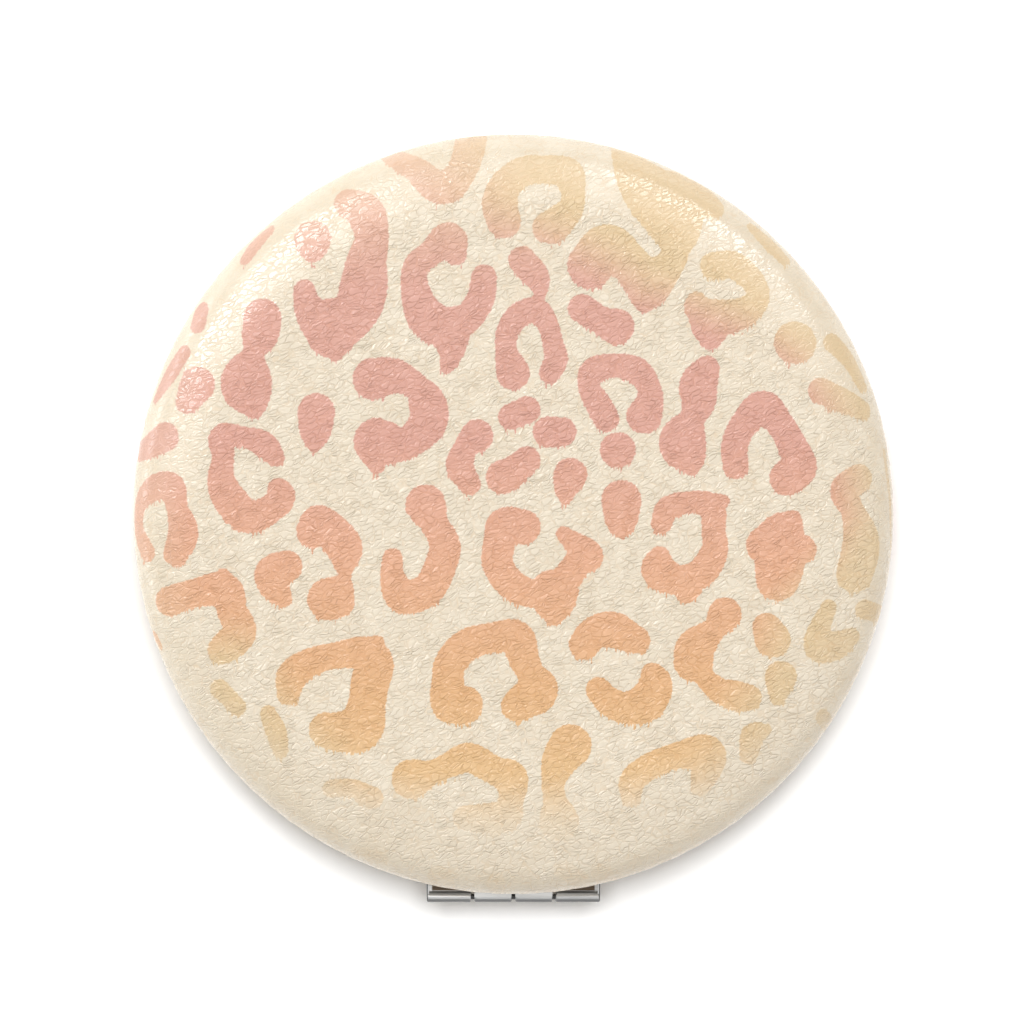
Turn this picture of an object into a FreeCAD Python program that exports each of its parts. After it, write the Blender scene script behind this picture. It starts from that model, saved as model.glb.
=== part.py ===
import FreeCAD, Part
import math
import os
import re

import Sketcher
from FreeCAD import Placement, Rotation, Vector

# Round folding compact mirror: two padded halves, each a leather cover over foam on a plated
# steel pan with a mirror in it, joined by a hinge with rolled knuckles.
# The closed case lies on its base: +Z is up, the hinge runs along X at the back (+Y), and the
# origin is the middle of the flat foot of the base cover.
# A half is drawn once, in the base's place. Its twin in the lid is turned over about the seam.

SIZES = {
    # Leather cover: a printed sheet drawn round a padded disc and turned in behind it.
    "cover_radius": 35.0,
    "cover_thickness": 0.8,
    "shoulder_width": 7.8,
    "cover_edge_radius": 3.0,
    "hem_width": 5.0,
    # Foam pad and the tinned disc that the cover is drawn over.
    "foam_thickness": 2.4,
    "backing_thickness": 0.4,
    "backing_clearance": 0.2,
    "bond_gap": 0.05,
    # Adhesive pad between the tinned disc and the pan.
    "adhesive_clearance": 0.3,
    # Plated pan: floor, wall and a rolled bead round the lip.
    "pan_setback": 0.7,
    "pan_thickness": 0.4,
    "pan_bend_radius": 0.4,
    "bead_height": 0.9,
    "bead_bulge": 0.28,
    "seam_gap": 0.2,
    # Mirrors: a plain one in the lid, a dished one that enlarges in the base.
    "tape_margin": 9.4,
    "tape_thickness": 0.3,
    "mirror_clearance": 0.2,
    "mirror_face_gap": 0.05,
    "mirror_thickness": 1.6,
    "mirror_bevel": 0.25,
    "magnifier_thickness": 1.1,
    "magnifier_curve_radius": 1000.0,
    # Bezel ring: holds the mirror's edge, hides the hinge leaf and carries the magnet.
    "bezel_width": 4.2,
    "bezel_clearance": 0.1,
    "bezel_recess": 0.05,
    "bezel_lip_width": 1.0,
    "bezel_lip_thickness": 0.6,
    "bezel_lip_round": 0.4,
    # Closing magnets, one in each bezel, opposite the hinge.
    "magnet_radius": 1.5,
    "magnet_thickness": 1.6,
    "magnet_chamfer": 0.2,
    "magnet_clearance": 0.05,
    # Hinge: strip leaves rolled round one pin.
    "hinge_width": 16.0,
    "hinge_offset": 0.32,
    "leaf_thickness": 0.22,
    "leaf_bend_radius": 0.25,
    "leaf_foot_margin": 0.125,
    "leaf_wall_gap": 0.3,
    "leaf_notch_gap": 0.2,
    "outer_knuckle_length": 4.1,
    "knuckle_gap": 0.3,
    "tab_gap": 0.35,
    "knuckle_round": 0.16,
    "cheek_reach": 1.28,
    "pin_radius": 0.25,
    "pin_clearance": 0.03,
    "pin_recess": 0.1,
    "pin_chamfer": 0.08,
    # Rivets through each leaf's foot and the pan's floor. A tail is sunk into a share of the floor.
    "rivet_inset": 3.0,
    "rivet_shank_radius": 0.45,
    "rivet_head_radius": 0.75,
    "rivet_head_height": 0.35,
    "rivet_clearance": 0.03,
    "rivet_sink_share": 0.75,
    # How far a cut runs past what it cuts.
    "overrun": 1.0,
}

# Places worked out from the sizes. Heights are above the table, for the base half.
PLACES = {
    # Stack of each half, from the table up to the seam.
    "belt_height": "cover_thickness + foam_thickness + backing_thickness",
    "floor_under": "belt_height + cover_thickness",
    "floor_top": "floor_under + pan_thickness",
    "tape_top": "floor_top + tape_thickness",
    "glass_height": "max(mirror_thickness; magnifier_thickness + magnifier_front_rise)",
    "bezel_lip_under": "tape_top + glass_height + mirror_face_gap",
    "bezel_top": "bezel_lip_under + bezel_lip_thickness",
    "lip_height": "bezel_top + bezel_recess",
    "seam_height": "lip_height + seam_gap / 2",
    # The cover's shoulder arc meets the flat and the edge arc without a crease.
    "cover_flat_radius": "cover_radius - shoulder_width",
    "shoulder_run": "shoulder_width - cover_edge_radius",
    "shoulder_rise": "belt_height - cover_edge_radius",
    "arc_span": "(shoulder_run ^ 2 + shoulder_rise ^ 2) / (2 * shoulder_rise)",
    "shoulder_radius": "arc_span + cover_edge_radius",
    "tuck_radius": "cover_radius - cover_thickness",
    "backing_radius": "tuck_radius - backing_clearance",
    "hem_inner_radius": "backing_radius - hem_width",
    # Radii from the pan inwards.
    "pan_radius": "cover_radius - pan_setback",
    "pan_inner_radius": "pan_radius - pan_thickness",
    "pan_corner_radius": "pan_bend_radius + pan_thickness",
    "bead_radius": "(bead_height ^ 2 / 4 + bead_bulge ^ 2) / (2 * bead_bulge)",
    "bezel_radius": "pan_inner_radius - bezel_clearance",
    "bezel_chamfer": "pan_bend_radius + 2 * bezel_clearance",
    "bezel_inner_radius": "bezel_radius - bezel_width",
    "bezel_lip_radius": "bezel_inner_radius - bezel_lip_width",
    "magnet_place": "bezel_radius - bezel_width / 2",
    "mirror_radius": "bezel_inner_radius - mirror_clearance",
    "tape_radius": "mirror_radius - tape_margin",
    "magnifier_back_radius": "magnifier_curve_radius + magnifier_thickness",
    "magnifier_front_rise": "magnifier_curve_radius - sqrt(magnifier_curve_radius ^ 2 - mirror_radius ^ 2)",
    "magnifier_back_rise": "magnifier_back_radius - sqrt(magnifier_back_radius ^ 2 - mirror_radius ^ 2)",
    # Hinge axis: in the seam, just outside the cover.
    "axis_reach": "cover_radius + hinge_offset",
    "bore_radius": "pin_radius + pin_clearance",
    "knuckle_radius": "bore_radius + leaf_thickness",
    "leaf_bend_outer": "leaf_bend_radius + leaf_thickness",
    "half_hinge": "hinge_width / 2",
    "web_outer": "sqrt(pan_inner_radius ^ 2 - half_hinge ^ 2) - leaf_wall_gap",
    "web_inner": "web_outer - leaf_thickness",
    "foot_top": "floor_top + leaf_thickness",
    "foot_half_length": "rivet_head_radius + leaf_foot_margin",
    "rivet_place": "web_inner - leaf_bend_radius - foot_half_length",
    "foot_end": "rivet_place - foot_half_length",
    "neck_under": "seam_height - knuckle_radius",
    "neck_top": "seam_height - bore_radius",
    "neck_root": "web_outer + leaf_bend_radius",
    "outer_knuckle_start": "half_hinge - outer_knuckle_length",
    "tab_end": "outer_knuckle_start - knuckle_gap",
    "rivet_side": "half_hinge - rivet_inset",
    "rivet_sink": "pan_thickness * rivet_sink_share",
    "rivet_tail_radius": "rivet_shank_radius + rivet_sink",
    "foot_room": "foot_top + rivet_head_height + bezel_clearance",
}

FULL_TURN = 360.0
HALF_TURN = 180.0
ROLL_TURN = 270.0
COUNTERSINK_ANGLE = 90.0
RIGHT_THROUGH = "ThroughAll"

doc = FreeCAD.newDocument("compact_mirror")
pieces = []


def fill_sheet():
    """Puts every driving size into a cell of its own, with its name as the alias."""
    sheet = doc.addObject("Spreadsheet::Sheet", "Dims")
    for row, (name, number) in enumerate(SIZES.items(), 1):
        sheet.set(f"A{row}", name)
        sheet.set(f"B{row}", str(number))
        sheet.setAlias(f"B{row}", name)
    doc.recompute()
    return sheet


def expr(text):
    """Writes out named sizes and places as an expression on the sheet's cells."""

    def cell(match):
        word = match.group()
        if word in PLACES:
            return f"({expr(PLACES[word])})"
        return f"Dims.{word}" if word in SIZES else word

    return re.sub(r"[a-z_]+", cell, text)


def value(text):
    """The present length of an expression of named sizes and places."""
    return float(sheet.evalExpression(expr(text)))


def new_body(node, half):
    """A body for one sub-part. A lid's body is turned over about the seam."""
    body = doc.addObject("PartDesign::Body", node)
    if half == "lid":
        body.Placement = Placement(Vector(), Rotation(Vector(0, 1, 0), HALF_TURN))
        body.setExpression("Placement.Base.z", expr("2 * seam_height"))
    pieces.append(body)
    return body


def new_sketch(body, plane, label, lift="0"):
    """An empty sketch on one of the body's own planes, lifted off it along its normal."""
    sketch = body.newObject("Sketcher::SketchObject", f"{body.Name}_{label}")
    origin = next(f for f in body.Origin.OriginFeatures if f.Role == plane)
    sketch.AttachmentSupport = [(origin, "")]
    sketch.MapMode = "FlatFace"
    if lift != "0":
        sketch.setExpression("AttachmentOffset.Base.z", expr(lift))
    return sketch


def tie(sketch, kind, axis, geometry, end, text):
    """Ties one coordinate of a point to an expression, or to the axis where it is zero."""
    if text == "0":
        sketch.addConstraint(Sketcher.Constraint("PointOnObject", geometry, end, axis))
        return
    length = value(text)
    ends = (-1, 1, geometry, end) if length > 0 else (geometry, end, -1, 1)
    index = sketch.addConstraint(Sketcher.Constraint(kind, *ends, abs(length)))
    sketch.setExpression(f"Constraints[{index}]", expr(text if length > 0 else f"-({text})"))


def place(sketch, geometry, end, across, up):
    """Ties both coordinates of a point of the sketch."""
    tie(sketch, "DistanceX", -2, geometry, end, across)
    tie(sketch, "DistanceY", -1, geometry, end, up)


def arc_between(start, end, radius, turn):
    """The arc shorter than a half turn from start to end that turns left or right."""
    chord = end - start
    across = Vector(-chord.y, chord.x, 0).normalize()
    reach = math.sqrt(radius**2 - (chord.Length / 2) ** 2)
    centre = start + chord * 0.5 + across * (reach if turn == "left" else -reach)
    first, last = (start, end) if turn == "left" else (end, start)
    angles = [math.atan2(p.y - centre.y, p.x - centre.x) for p in (first, last)]
    return Part.ArcOfCircle(Part.Circle(centre, Vector(0, 0, 1), radius), *angles)


def draw_loop(sketch, corners):
    """Draws one closed outline. Corners are (across, up) in order, and a corner that also has a
    radius and a turn starts an arc to the next one."""
    spots = [Vector(value(c[0]), value(c[1]), 0) for c in corners]
    ends = []
    for start, end, corner in zip(spots, spots[1:] + spots[:1], corners):
        if len(corner) == 2:
            ends.append((sketch.addGeometry(Part.LineSegment(start, end)), 1, 2))
            continue
        radius, turn = corner[2:]
        index = sketch.addGeometry(arc_between(start, end, value(radius), turn))
        ends.append((index, 1, 2) if turn == "left" else (index, 2, 1))
        size = sketch.addConstraint(Sketcher.Constraint("Radius", index, value(radius)))
        sketch.setExpression(f"Constraints[{size}]", expr(radius))
    for (before, _, last), (after, first, _) in zip(ends, ends[1:] + ends[:1]):
        sketch.addConstraint(Sketcher.Constraint("Coincident", before, last, after, first))
    for (index, first, _), corner in zip(ends, corners):
        place(sketch, index, first, corner[0], corner[1])


def outline(body, plane, label, *loops, lift="0"):
    """A sketch of closed outlines."""
    sketch = new_sketch(body, plane, label, lift)
    for corners in loops:
        draw_loop(sketch, corners)
    return sketch


def rings(body, label, circles, lift="0"):
    """A level sketch of circles, each (across, along, radius)."""
    sketch = new_sketch(body, "XY_Plane", label, lift)
    for across, along, radius in circles:
        circle = Part.Circle(Vector(value(across), value(along), 0), Vector(0, 0, 1), value(radius))
        index = sketch.addGeometry(circle)
        place(sketch, index, 3, across, along)
        size = sketch.addConstraint(Sketcher.Constraint("Radius", index, value(radius)))
        sketch.setExpression(f"Constraints[{size}]", expr(radius))
    return sketch


def block(left, right, near, far):
    """The corners of a rectangle."""
    return [(left, near), (right, near), (right, far), (left, far)]


def revolve(body, sketch):
    """Turns a section right round the upright axis."""
    solid = body.newObject("PartDesign::Revolution", f"{body.Name}_turned")
    solid.Profile = sketch
    solid.ReferenceAxis = (sketch, ["V_Axis"])
    solid.Angle = FULL_TURN
    doc.recompute()
    return solid


def pad(body, sketch, length, symmetric=False):
    """Thickens a sketch along its normal, or equally to both sides."""
    solid = body.newObject("PartDesign::Pad", f"{sketch.Name}_pad")
    solid.Profile = sketch
    solid.SideType = "Symmetric" if symmetric else "One side"
    solid.setExpression("Length", expr(length))
    doc.recompute()
    return solid


def cut(body, sketch, length=None, reverse=False, symmetric=False):
    """Cuts a sketch out of the body, to a depth or right through, and checks that it cut."""
    before = body.Shape.Volume
    pocket = body.newObject("PartDesign::Pocket", f"{sketch.Name}_cut")
    pocket.Profile = sketch
    pocket.SideType = "Symmetric" if symmetric else "One side"
    pocket.Reversed = reverse
    if length:
        pocket.setExpression("Length", expr(length))
    else:
        pocket.Type = RIGHT_THROUGH
    doc.recompute()
    if not body.Shape.Volume < before:
        raise RuntimeError(f"{pocket.Name} cuts nothing")
    return pocket


def chamfer_rims(body, solid, size):
    """Breaks the sharp round edges at both ends of a turned or padded piece."""
    chamfer = body.newObject("PartDesign::Chamfer", f"{body.Name}_chamfer")
    edges = [
        f"Edge{number}"
        for number, edge in enumerate(solid.Shape.Edges, 1)
        if isinstance(edge.Curve, Part.Circle)
    ]
    chamfer.Base = (solid, edges)
    chamfer.setExpression("Size", expr(size))
    doc.recompute()
    return chamfer


def leather_cover(half):
    """Printed leather drawn over the foam: flat face, soft shoulder, round edge, tucked hem."""
    body = new_body(f"{half}_leather_cover", half)
    run, span = "shoulder_run / arc_span", "(1 - shoulder_rise / arc_span)"
    inner_arc = "(shoulder_radius - cover_thickness)"
    corners = [
        ("0", "0"),
        ("cover_flat_radius", "0", "shoulder_radius", "left"),
        (
            f"cover_flat_radius + shoulder_radius * {run}",
            f"shoulder_radius * (1 - {span})",
            "cover_edge_radius",
            "left",
        ),
        ("cover_radius", "belt_height", "cover_thickness", "left"),
        ("tuck_radius", "floor_under"),
        ("hem_inner_radius", "floor_under"),
        ("hem_inner_radius", "belt_height"),
        ("tuck_radius", "belt_height", "cover_edge_radius - cover_thickness", "right"),
        (
            f"cover_flat_radius + {inner_arc} * {run}",
            f"shoulder_radius - {inner_arc} * {span}",
            "shoulder_radius - cover_thickness",
            "right",
        ),
        ("cover_flat_radius", "cover_thickness"),
        ("0", "cover_thickness"),
    ]
    revolve(body, outline(body, "XZ_Plane", "section", corners))


def foam_pad(half):
    """Sponge under the leather, its edge rounded by the cover's pull."""
    body = new_body(f"{half}_foam_pad", half)
    run, span = "shoulder_run / arc_span", "(1 - shoulder_rise / arc_span)"
    shoulder = "(shoulder_radius - cover_thickness - bond_gap)"
    corner = "(cover_edge_radius - cover_thickness - bond_gap)"
    face = "belt_height - backing_thickness"
    edge = f"cover_radius - cover_edge_radius + sqrt({corner} ^ 2 - backing_thickness ^ 2)"
    corners = [
        ("0", "cover_thickness + bond_gap"),
        ("cover_flat_radius", "cover_thickness + bond_gap", shoulder, "left"),
        (
            f"cover_flat_radius + {shoulder} * {run}",
            f"shoulder_radius - {shoulder} * {span}",
            corner,
            "left",
        ),
        (edge, face),
        ("0", face),
    ]
    revolve(body, outline(body, "XZ_Plane", "section", corners))


def backing_disc(half):
    """Tinned steel disc that the leather's margin is turned over."""
    body = new_body(f"{half}_backing_disc", half)
    face = "belt_height - backing_thickness"
    pad(body, rings(body, "disc", [("0", "0", "backing_radius")], lift=face), "backing_thickness")


def mounting_adhesive(half):
    """Double-sided pad that fixes the covered disc to the pan, inside the hem."""
    body = new_body(f"{half}_mounting_adhesive", half)
    reach = "hem_inner_radius - adhesive_clearance"
    pad(body, rings(body, "disc", [("0", "0", reach)], lift="belt_height"), "cover_thickness")


def rivet_holes(radius):
    """The circles of a half's two rivet holes."""
    return [(side, "rivet_place", radius) for side in ("rivet_side", "-rivet_side")]


def pan(half, notch):
    """Pressed and plated pan, with a rolled bead round its lip and a notch for the hinge leaf."""
    body = new_body(f"{half}_pan", half)
    corners = [
        ("0", "floor_under"),
        ("pan_radius - pan_corner_radius", "floor_under", "pan_corner_radius", "left"),
        ("pan_radius", "floor_under + pan_corner_radius"),
        ("pan_radius", "lip_height - bead_height", "bead_radius", "left"),
        ("pan_radius", "lip_height"),
        ("pan_inner_radius", "lip_height"),
        ("pan_inner_radius", "floor_top + pan_bend_radius", "pan_bend_radius", "right"),
        ("pan_inner_radius - pan_bend_radius", "floor_top"),
        ("0", "floor_top"),
    ]
    revolve(body, outline(body, "XZ_Plane", "section", corners))
    reach = f"{notch} + leaf_notch_gap"
    opening = block(f"-({reach})", reach, "neck_under - leaf_notch_gap", "lip_height + overrun")
    cut(body, outline(body, "XZ_Plane", "notch", opening))
    holes = body.newObject("PartDesign::Hole", f"{body.Name}_rivet_holes")
    holes.Profile = rings(body, "rivets", rivet_holes("rivet_shank_radius"), lift="floor_under")
    doc.recompute()
    holes.DepthType = RIGHT_THROUGH
    holes.Reversed = True
    holes.HoleCutType = "Countersink"
    holes.HoleCutCustomValues = True
    holes.HoleCutCountersinkAngle = COUNTERSINK_ANGLE
    holes.setExpression("Diameter", expr("2 * (rivet_shank_radius + rivet_clearance)"))
    holes.setExpression("HoleCutDiameter", expr("2 * (rivet_tail_radius + rivet_clearance)"))
    doc.recompute()


def mirror_tape(half):
    """Thin tape that fixes the glass to the pan's floor."""
    body = new_body(f"{half}_mirror_tape", half)
    pad(body, rings(body, "disc", [("0", "0", "tape_radius")], lift="floor_top"), "tape_thickness")


def plain_mirror(half):
    """Flat silvered glass with ground edges."""
    body = new_body(f"{half}_mirror", half)
    disc = rings(body, "disc", [("0", "0", "mirror_radius")], lift="tape_top")
    chamfer_rims(body, pad(body, disc, "mirror_thickness"), "mirror_bevel")


def magnifying_mirror(half):
    """Silvered glass bent to a shallow dish, which doubles the image at arm's length."""
    body = new_body(f"{half}_mirror", half)
    corners = [
        ("0", "tape_top", "magnifier_back_radius", "left"),
        ("mirror_radius", "tape_top + magnifier_back_rise"),
        (
            "mirror_radius",
            "tape_top + magnifier_thickness + magnifier_front_rise",
            "magnifier_curve_radius",
            "right",
        ),
        ("0", "tape_top + magnifier_thickness"),
    ]
    revolve(body, outline(body, "XZ_Plane", "section", corners))


def bezel(half):
    """Plated ring round the mirror, flat at the hinge, with a seat for the magnet."""
    body = new_body(f"{half}_bezel", half)
    corners = [
        ("bezel_inner_radius", "floor_top"),
        ("bezel_radius - bezel_chamfer", "floor_top"),
        ("bezel_radius", "floor_top + bezel_chamfer"),
        ("bezel_radius", "bezel_top"),
        ("bezel_lip_radius + bezel_lip_round", "bezel_top", "bezel_lip_round", "left"),
        ("bezel_lip_radius", "bezel_top - bezel_lip_round"),
        ("bezel_lip_radius", "bezel_lip_under"),
        ("bezel_inner_radius", "bezel_lip_under"),
    ]
    revolve(body, outline(body, "XZ_Plane", "section", corners))
    side = "half_hinge + leaf_notch_gap"
    flat = block(f"-({side})", side, "web_inner - bezel_clearance", "pan_radius + overrun")
    cut(body, outline(body, "XY_Plane", "flat", flat), reverse=True)
    foot = block(f"-({side})", side, "foot_end - bezel_clearance", "pan_radius")
    cut(body, outline(body, "XY_Plane", "foot", foot), length="foot_room", reverse=True)
    seat = [("0", "-magnet_place", "magnet_radius + magnet_clearance")]
    depth = "floor_top + magnet_thickness + magnet_clearance"
    cut(body, rings(body, "magnet_seat", seat), length=depth, reverse=True)


def magnet(half):
    """Disc magnet in the bezel, opposite the hinge, that holds the case shut."""
    body = new_body(f"{half}_magnet", half)
    disc = rings(body, "disc", [("0", "-magnet_place", "magnet_radius")], lift="floor_top")
    chamfer_rims(body, pad(body, disc, "magnet_thickness"), "magnet_chamfer")


def roll_knuckles(body, spans):
    """Rolls the neck three quarters of a turn round the pin over each span, with rounded ends."""
    sketch = new_sketch(body, "XZ_Plane", "knuckles", lift="-axis_reach")
    for left, right in spans:
        corners = [
            (f"{left} + knuckle_round", "neck_under"),
            (f"{right} - knuckle_round", "neck_under", "knuckle_round", "left"),
            (right, "neck_under + knuckle_round"),
            (right, "neck_top"),
            (left, "neck_top"),
            (left, "neck_under + knuckle_round", "knuckle_round", "left"),
        ]
        draw_loop(sketch, corners)
    ends = [Vector(value(x), value("seam_height"), 0) for x in ("0", "half_hinge")]
    axis = sketch.addGeometry(Part.LineSegment(*ends), True)
    place(sketch, axis, 1, "0", "seam_height")
    place(sketch, axis, 2, "half_hinge", "seam_height")
    roll = body.newObject("PartDesign::Revolution", f"{body.Name}_rolled")
    roll.Profile = sketch
    roll.ReferenceAxis = (sketch, ["Axis0"])
    roll.Angle = ROLL_TURN
    doc.recompute()


def turn_up_cheeks(body):
    """Turns up the two ends of the neck behind the outer knuckles, as high as they are."""
    inside, edge = "half_hinge - leaf_thickness", "half_hinge - knuckle_round"
    crown = "seam_height + knuckle_radius"
    right = [
        (inside, "neck_under"),
        ("half_hinge", "neck_under"),
        ("half_hinge", f"{crown} - knuckle_round", "knuckle_round", "left"),
        (edge, crown),
        (inside, crown),
    ]
    left = [
        ("-half_hinge", "neck_under"),
        (f"-({inside})", "neck_under"),
        (f"-({inside})", crown),
        (f"-({edge})", crown, "knuckle_round", "left"),
        ("-half_hinge", f"{crown} - knuckle_round"),
    ]
    sketch = outline(body, "XZ_Plane", "cheeks", right, left, lift="-(axis_reach - bore_radius)")
    pad(body, sketch, "cheek_reach - bore_radius")


def hinge_leaf(half, gaps, spans, cheeks):
    """Steel strip: a foot on the pan's floor, a web up its wall, a neck out through the notch,
    and knuckles rolled round the pin. The gaps are where the other leaf's knuckles go."""
    body = new_body(f"{half}_hinge_leaf", half)
    corners = [
        ("foot_end", "floor_top"),
        ("web_outer - leaf_bend_outer", "floor_top", "leaf_bend_outer", "left"),
        ("web_outer", "floor_top + leaf_bend_outer"),
        ("web_outer", "neck_under - leaf_bend_radius", "leaf_bend_radius", "right"),
        ("neck_root", "neck_under"),
        ("axis_reach", "neck_under"),
        ("axis_reach", "neck_top"),
        ("neck_root", "neck_top", "leaf_bend_outer", "left"),
        ("web_inner", "neck_under - leaf_bend_radius"),
        ("web_inner", "foot_top + leaf_bend_radius", "leaf_bend_radius", "right"),
        ("web_inner - leaf_bend_radius", "foot_top"),
        ("foot_end", "foot_top"),
    ]
    pad(body, outline(body, "YZ_Plane", "section", corners), "hinge_width", symmetric=True)
    loops = [block(left, right, "neck_root", "axis_reach + overrun") for left, right in gaps]
    cut(body, outline(body, "XY_Plane", "gaps", *loops), reverse=True)
    cut(body, rings(body, "rivets", rivet_holes("rivet_shank_radius + rivet_clearance")), reverse=True)
    roll_knuckles(body, spans)
    if cheeks:
        turn_up_cheeks(body)


def rivets(half):
    """Two rivets: a low head on the leaf's foot and a tail sunk flush in the pan's floor."""
    body = doc.addObject("PartDesign::Body", f"{half}_rivet")
    corners = [
        ("0", "floor_under"),
        ("rivet_tail_radius", "floor_under"),
        ("rivet_shank_radius", "floor_under + rivet_sink"),
        ("rivet_shank_radius", "foot_top"),
        ("rivet_head_radius", "foot_top"),
        ("rivet_shank_radius", "foot_top + rivet_head_height"),
        ("0", "foot_top + rivet_head_height"),
    ]
    revolve(body, outline(body, "XZ_Plane", "section", corners))
    body.setExpression("Placement.Base.x", expr("rivet_side"))
    body.setExpression("Placement.Base.y", expr("rivet_place"))
    if half == "lid":
        body.Placement.Rotation = Rotation(Vector(0, 1, 0), HALF_TURN)
        body.setExpression("Placement.Base.z", expr("2 * seam_height"))
    twin = doc.addObject("Part::Mirroring", f"{half}_rivet_twin")
    twin.Source = body
    twin.Normal = Vector(1, 0, 0)
    pair = doc.addObject("Part::Compound", f"{half}_rivets")
    pair.Links = [body, twin]
    pieces.append(pair)


def hinge_pin():
    """Steel pin through all the knuckles, held in the base leaf's."""
    body = new_body("hinge_pin", "base")
    sketch = new_sketch(body, "YZ_Plane", "section")
    centre = Vector(value("axis_reach"), value("seam_height"), 0)
    index = sketch.addGeometry(Part.Circle(centre, Vector(0, 0, 1), value("pin_radius")))
    place(sketch, index, 3, "axis_reach", "seam_height")
    size = sketch.addConstraint(Sketcher.Constraint("Radius", index, value("pin_radius")))
    sketch.setExpression(f"Constraints[{size}]", expr("pin_radius"))
    rod = pad(body, sketch, "hinge_width - 2 * pin_recess", symmetric=True)
    chamfer_rims(body, rod, "pin_chamfer")


def half_case(half, mirror, notch, gaps, knuckles, cheeks=False):
    """All the pieces of one half, from the leather inwards."""
    leather_cover(half)
    foam_pad(half)
    backing_disc(half)
    mounting_adhesive(half)
    pan(half, notch)
    mirror_tape(half)
    mirror(half)
    bezel(half)
    magnet(half)
    hinge_leaf(half, gaps, knuckles, cheeks)
    rivets(half)


def check_and_write():
    """Stops on any failed object or bad shape, then writes one file for each sub-part."""
    doc.recompute()
    failed = [o.Name for o in doc.Objects if {"Invalid", "Error"} & set(o.State)]
    if failed:
        raise RuntimeError(f"failed objects: {failed}")
    for piece in pieces:
        if piece.Shape.isNull() or not piece.Shape.isValid():
            raise RuntimeError(f"{piece.Label} has no valid shape")
    os.makedirs("parts", exist_ok=True)
    for piece in pieces:
        piece.Shape.exportStep(f"parts/{piece.Label}.step")


sheet = fill_sheet()
half_case(
    "base",
    magnifying_mirror,
    "half_hinge",
    gaps=[("-outer_knuckle_start", "outer_knuckle_start")],
    knuckles=[("-half_hinge", "-outer_knuckle_start"), ("outer_knuckle_start", "half_hinge")],
    cheeks=True,
)
half_case(
    "lid",
    plain_mirror,
    "tab_end",
    gaps=[
        ("-(half_hinge + overrun)", "-tab_end"),
        ("-tab_gap / 2", "tab_gap / 2"),
        ("tab_end", "half_hinge + overrun"),
    ],
    knuckles=[("-tab_end", "-tab_gap / 2"), ("tab_gap / 2", "tab_end")],
)
hinge_pin()
check_and_write()
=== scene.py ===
import math

import bpy
import numpy as np
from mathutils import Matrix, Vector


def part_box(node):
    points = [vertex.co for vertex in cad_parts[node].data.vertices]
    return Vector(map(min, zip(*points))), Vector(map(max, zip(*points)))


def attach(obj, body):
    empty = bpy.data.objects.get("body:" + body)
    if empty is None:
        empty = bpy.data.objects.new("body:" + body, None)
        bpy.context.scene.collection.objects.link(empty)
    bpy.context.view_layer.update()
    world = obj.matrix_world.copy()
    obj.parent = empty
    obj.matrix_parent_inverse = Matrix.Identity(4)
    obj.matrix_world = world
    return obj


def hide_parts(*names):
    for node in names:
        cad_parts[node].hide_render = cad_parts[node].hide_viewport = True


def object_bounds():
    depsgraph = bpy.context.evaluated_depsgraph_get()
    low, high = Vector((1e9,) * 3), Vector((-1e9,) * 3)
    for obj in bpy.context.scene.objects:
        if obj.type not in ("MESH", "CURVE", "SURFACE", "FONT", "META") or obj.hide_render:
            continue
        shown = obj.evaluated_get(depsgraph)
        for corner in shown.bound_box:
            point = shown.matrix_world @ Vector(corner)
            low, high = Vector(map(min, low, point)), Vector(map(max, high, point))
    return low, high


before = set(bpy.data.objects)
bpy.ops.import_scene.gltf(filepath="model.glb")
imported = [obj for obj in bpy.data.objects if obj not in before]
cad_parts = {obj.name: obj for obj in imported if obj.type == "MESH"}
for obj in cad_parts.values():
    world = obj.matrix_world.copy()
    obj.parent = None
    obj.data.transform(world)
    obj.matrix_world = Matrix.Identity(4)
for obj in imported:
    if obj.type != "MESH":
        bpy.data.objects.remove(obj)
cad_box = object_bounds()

# Pans
# Each half's body is thin steel pressed into a shallow pan, with a rolled bead round its lip, then nickel
# plated. The press leaves faint rings, and hands leave smudges and hairline scratches on the plate.
HALVES = ("base", "lid")
MM = 0.001
PLATE_COLOUR = (0.58, 0.56, 0.53)
PLATE_TARNISH = (0.50, 0.48, 0.45)
PAN_ROUGHNESS = (0.22, 0.34)
PAN_RINGS = 2600.0
PAN_RING_DEPTH = 0.004 * MM
SMUDGE_SCALE = 110.0
SMUDGE_RANGE = (0.36, 0.86)
SCRATCH_STRETCHES = (((2600.0, 70.0, 2600.0), 0.5), ((60.0, 3100.0, 3100.0), -0.3))
SCRATCH_RANGE = (0.71, 0.81)


def add(tree, kind, inputs=None, **settings):
    """A new shader node: settings are its properties, and inputs are values or sockets, each by the name or
    the number of its socket."""
    node = tree.nodes.new("ShaderNode" + kind)
    for name, value in settings.items():
        setattr(node, name, value)
    for name, value in (inputs or {}).items():
        if isinstance(value, bpy.types.NodeSocket):
            tree.links.new(value, node.inputs[name])
        else:
            node.inputs[name].default_value = value
    return node


def maths(tree, operation, *values):
    """The result socket of a Math node on up to three values or sockets."""
    return add(tree, "Math", dict(enumerate(values)), operation=operation).outputs[0]


def blended(tree, factor, first, second):
    """The result socket of a colour mix from first to second."""
    return add(tree, "Mix", {0: factor, 6: first, 7: second}, data_type="RGBA").outputs[2]


def ramped(tree, value, low, high, start=0.0, end=1.0):
    """value carried smoothly from the range low to high into the range start to end, and held there."""
    inputs = {"Value": value, "From Min": low, "From Max": high, "To Min": start, "To Max": end}
    return add(tree, "MapRange", inputs, interpolation_type="SMOOTHSTEP").outputs["Result"]


def opaque(colour):
    """A colour with its alpha."""
    return (*colour, 1.0)


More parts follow.
